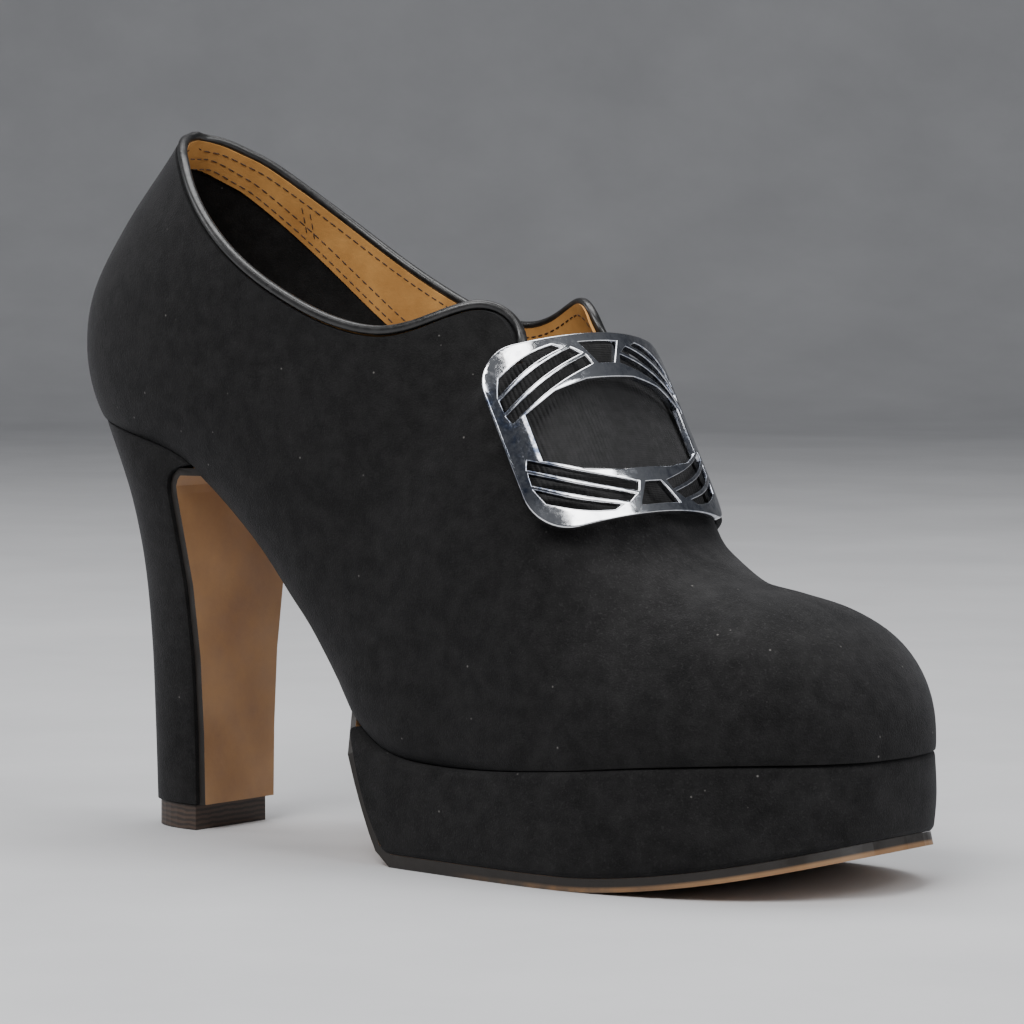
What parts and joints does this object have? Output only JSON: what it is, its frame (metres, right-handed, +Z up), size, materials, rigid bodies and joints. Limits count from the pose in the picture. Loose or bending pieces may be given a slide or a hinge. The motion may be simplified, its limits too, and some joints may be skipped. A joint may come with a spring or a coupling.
{
  "type": "platform shoe",
  "caption": "Women's high-heeled platform shoe with a suede upper, ribbed instep band and large curved metal buckle.",
  "frame": {"origin": "centre of the bounding box in plan, on the floor that the heel and the forefoot stand on", "axes": "+X towards the toe, +Y towards the inner side of the foot, +Z up"},
  "size_m": [0.2326, 0.0795, 0.1679],
  "materials": {
    "suede": "black suede with a fine nap, paler where it is worn",
    "binding": "narrow rolled leather binding, semi-gloss",
    "ribbed_band": "black ribbed silk fabric, ribs along the foot",
    "buckle_metal": "polished plated metal, lightly worn",
    "sole_leather": "smooth tan sole leather, scuffed on the tread",
    "lining_leather": "thin tan lining leather, satin",
    "lift_rubber": "dark brown-black hard rubber heel lift"
  },
  "bodies": {
    "root": {"upper": "suede", "topline_binding": "binding", "instep_band": "ribbed_band", "instep_strap": "suede", "strap_stud": "buckle_metal", "buckle": "buckle_metal", "insole": "lining_leather", "platform": "suede", "outsole": "sole_leather", "heel": "suede", "heel_lift": "lift_rubber"}
  },
  "joints": []
}
